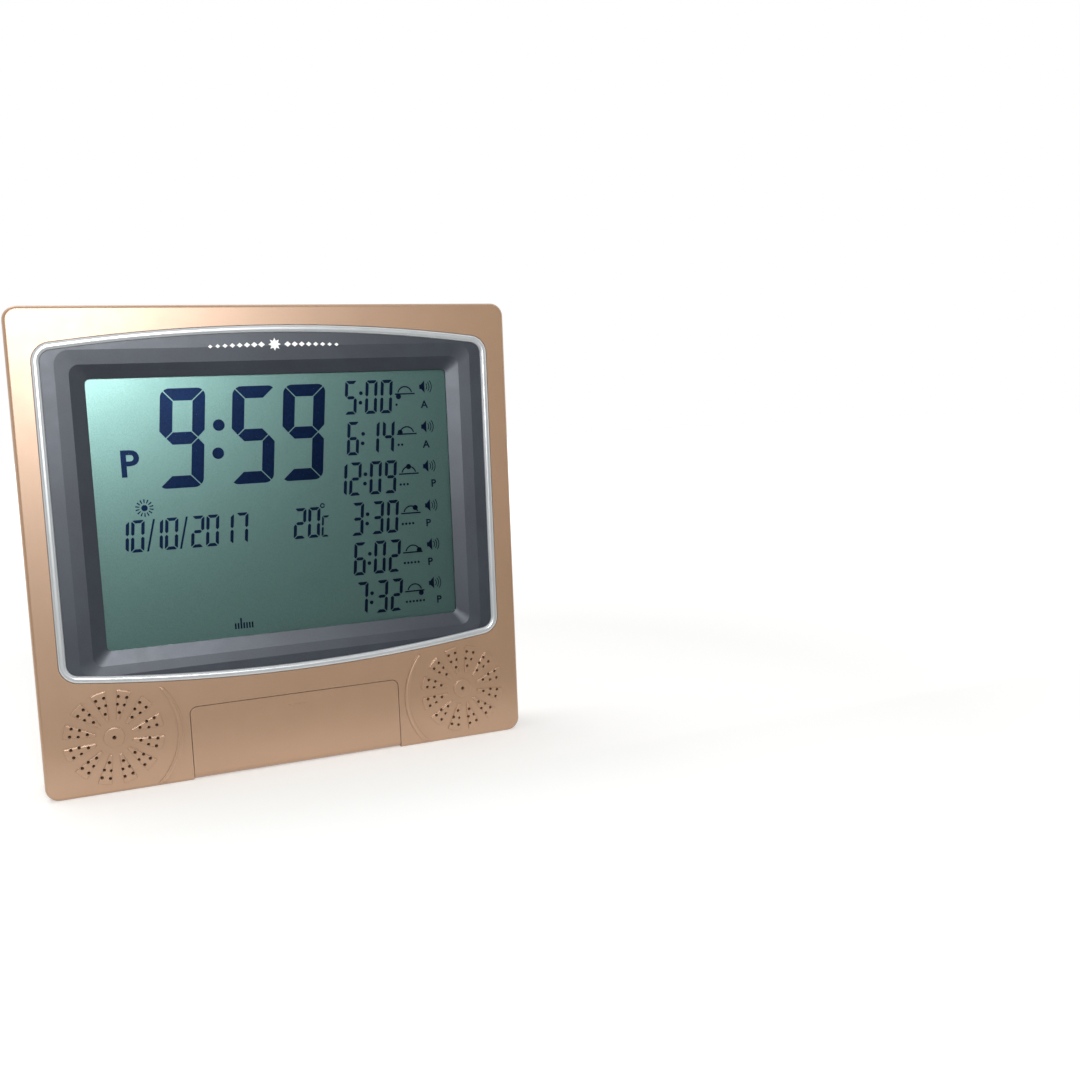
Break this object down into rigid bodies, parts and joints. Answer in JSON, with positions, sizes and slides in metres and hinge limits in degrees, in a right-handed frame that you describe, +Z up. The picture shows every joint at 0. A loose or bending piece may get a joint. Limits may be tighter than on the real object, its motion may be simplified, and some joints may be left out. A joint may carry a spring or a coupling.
{
  "type": "azan clock",
  "caption": "Desk and wall prayer-time clock with a large display in a bowed bezel, round wedge-pattern speaker grilles, a drop-down key door and a fold-out stand.",
  "frame": {"origin": "bottom centre of the clock's bounding box, on the surface it stands on", "axes": "+Z up, -Y towards the viewer in front of the display, +X to the viewer's right"},
  "size_m": [0.236, 0.036, 0.2255],
  "materials": {
    "gold_paint": "satin gold metallic paint",
    "gold_plastic": "satin",
    "silver_plating": "satin silver plating",
    "slate_plastic": "satin",
    "clear_acrylic": "clear",
    "lcd_glass": "satin",
    "reflector_sheet": "satin",
    "white_plastic": "satin",
    "strip_rubber": "matte",
    "circuit_board": "satin",
    "screw_steel": "polished",
    "black_resin": "gloss",
    "can_aluminium": "satin",
    "dark_plastic": "matte",
    "key_plastic": "satin",
    "keypad_rubber": "matte",
    "foot_rubber": "matte",
    "cell_jacket": "gloss",
    "nickel_contact": "polished",
    "gasket_felt": "matte",
    "basket_steel": "satin",
    "magnet_ferrite": "matte",
    "cone_paper": "matte"
  },
  "bodies": {
    "clock_case": {"front_panel": "gold_paint", "trim_ring": "silver_plating", "dark_bezel": "slate_plastic", "display_lens": "clear_acrylic", "lcd_panel": "lcd_glass", "lcd_reflector": "reflector_sheet", "lcd_frame": "white_plastic", "contact_strips": "strip_rubber", "main_board": "circuit_board", "board_screws": "screw_steel", "chip_covers": "black_resin", "capacitors": "can_aluminium", "quartz_crystal": "screw_steel", "key_tray": "dark_plastic", "key_plate": "dark_plastic", "rubber_keypad": "keypad_rubber", "key_board": "circuit_board", "key_board_screws": "screw_steel", "speaker_screws": "screw_steel", "rear_cover": "gold_plastic", "rubber_feet": "foot_rubber", "batteries": "cell_jacket", "battery_contacts": "nickel_contact", "case_screws": "screw_steel", "side_board": "circuit_board", "dc_jack": "dark_plastic", "side_switches": "dark_plastic", "left_speaker_gasket": "gasket_felt", "left_speaker_basket": "basket_steel", "left_speaker_magnet": "magnet_ferrite", "left_speaker_cone": "cone_paper", "right_speaker_gasket": "gasket_felt", "right_speaker_basket": "basket_steel", "right_speaker_magnet": "magnet_ferrite", "right_speaker_cone": "cone_paper"},
    "door": {"key_door": "gold_paint"},
    "stand": {"stand_leg": "gold_plastic"},
    "cell_cover": {"battery_cover": "gold_plastic"},
    "setting_key_1_1_cap": {"setting_key_1_1": "key_plastic"},
    "setting_key_1_2_cap": {"setting_key_1_2": "key_plastic"},
    "setting_key_1_3_cap": {"setting_key_1_3": "key_plastic"},
    "setting_key_1_4_cap": {"setting_key_1_4": "key_plastic"},
    "setting_key_2_1_cap": {"setting_key_2_1": "key_plastic"},
    "setting_key_2_2_cap": {"setting_key_2_2": "key_plastic"},
    "setting_key_2_3_cap": {"setting_key_2_3": "key_plastic"},
    "setting_key_2_4_cap": {"setting_key_2_4": "key_plastic"},
    "side_button_upper_pin": {"side_button_upper": "dark_plastic"},
    "side_button_lower_pin": {"side_button_lower": "dark_plastic"}
  },
  "joints": [
    {"name": "door_hinge", "type": "hinge", "parent": "clock_case", "child": "door", "pos_m": [0, -0.0141, 0.00335], "axis": [1, 0, 0], "range_deg": [0, 90]},
    {"name": "stand_hinge", "type": "hinge", "parent": "clock_case", "child": "stand", "pos_m": [0, 0.0154, 0.104], "axis": [1, 0, 0], "range_deg": [0, 16]},
    {"name": "cell_cover_pull", "type": "slide", "parent": "clock_case", "child": "cell_cover", "axis": [0, 1, 0], "range_m": [0, 0.03]},
    {"name": "setting_key_1_1_press", "type": "slide", "parent": "clock_case", "child": "setting_key_1_1_cap", "axis": [0, 1, 0], "range_m": [0, 0.0008], "stiffness_N_per_m": 600},
    {"name": "setting_key_1_2_press", "type": "slide", "parent": "clock_case", "child": "setting_key_1_2_cap", "axis": [0, 1, 0], "range_m": [0, 0.0008], "stiffness_N_per_m": 600},
    {"name": "setting_key_1_3_press", "type": "slide", "parent": "clock_case", "child": "setting_key_1_3_cap", "axis": [0, 1, 0], "range_m": [0, 0.0008], "stiffness_N_per_m": 600},
    {"name": "setting_key_1_4_press", "type": "slide", "parent": "clock_case", "child": "setting_key_1_4_cap", "axis": [0, 1, 0], "range_m": [0, 0.0008], "stiffness_N_per_m": 600},
    {"name": "setting_key_2_1_press", "type": "slide", "parent": "clock_case", "child": "setting_key_2_1_cap", "axis": [0, 1, 0], "range_m": [0, 0.0008], "stiffness_N_per_m": 600},
    {"name": "setting_key_2_2_press", "type": "slide", "parent": "clock_case", "child": "setting_key_2_2_cap", "axis": [0, 1, 0], "range_m": [0, 0.0008], "stiffness_N_per_m": 600},
    {"name": "setting_key_2_3_press", "type": "slide", "parent": "clock_case", "child": "setting_key_2_3_cap", "axis": [0, 1, 0], "range_m": [0, 0.0008], "stiffness_N_per_m": 600},
    {"name": "setting_key_2_4_press", "type": "slide", "parent": "clock_case", "child": "setting_key_2_4_cap", "axis": [0, 1, 0], "range_m": [0, 0.0008], "stiffness_N_per_m": 600},
    {"name": "side_button_upper_press", "type": "slide", "parent": "clock_case", "child": "side_button_upper_pin", "axis": [1, 0, 0], "range_m": [0, 0.0005], "stiffness_N_per_m": 600},
    {"name": "side_button_lower_press", "type": "slide", "parent": "clock_case", "child": "side_button_lower_pin", "axis": [1, 0, 0], "range_m": [0, 0.0005], "stiffness_N_per_m": 600}
  ]
}
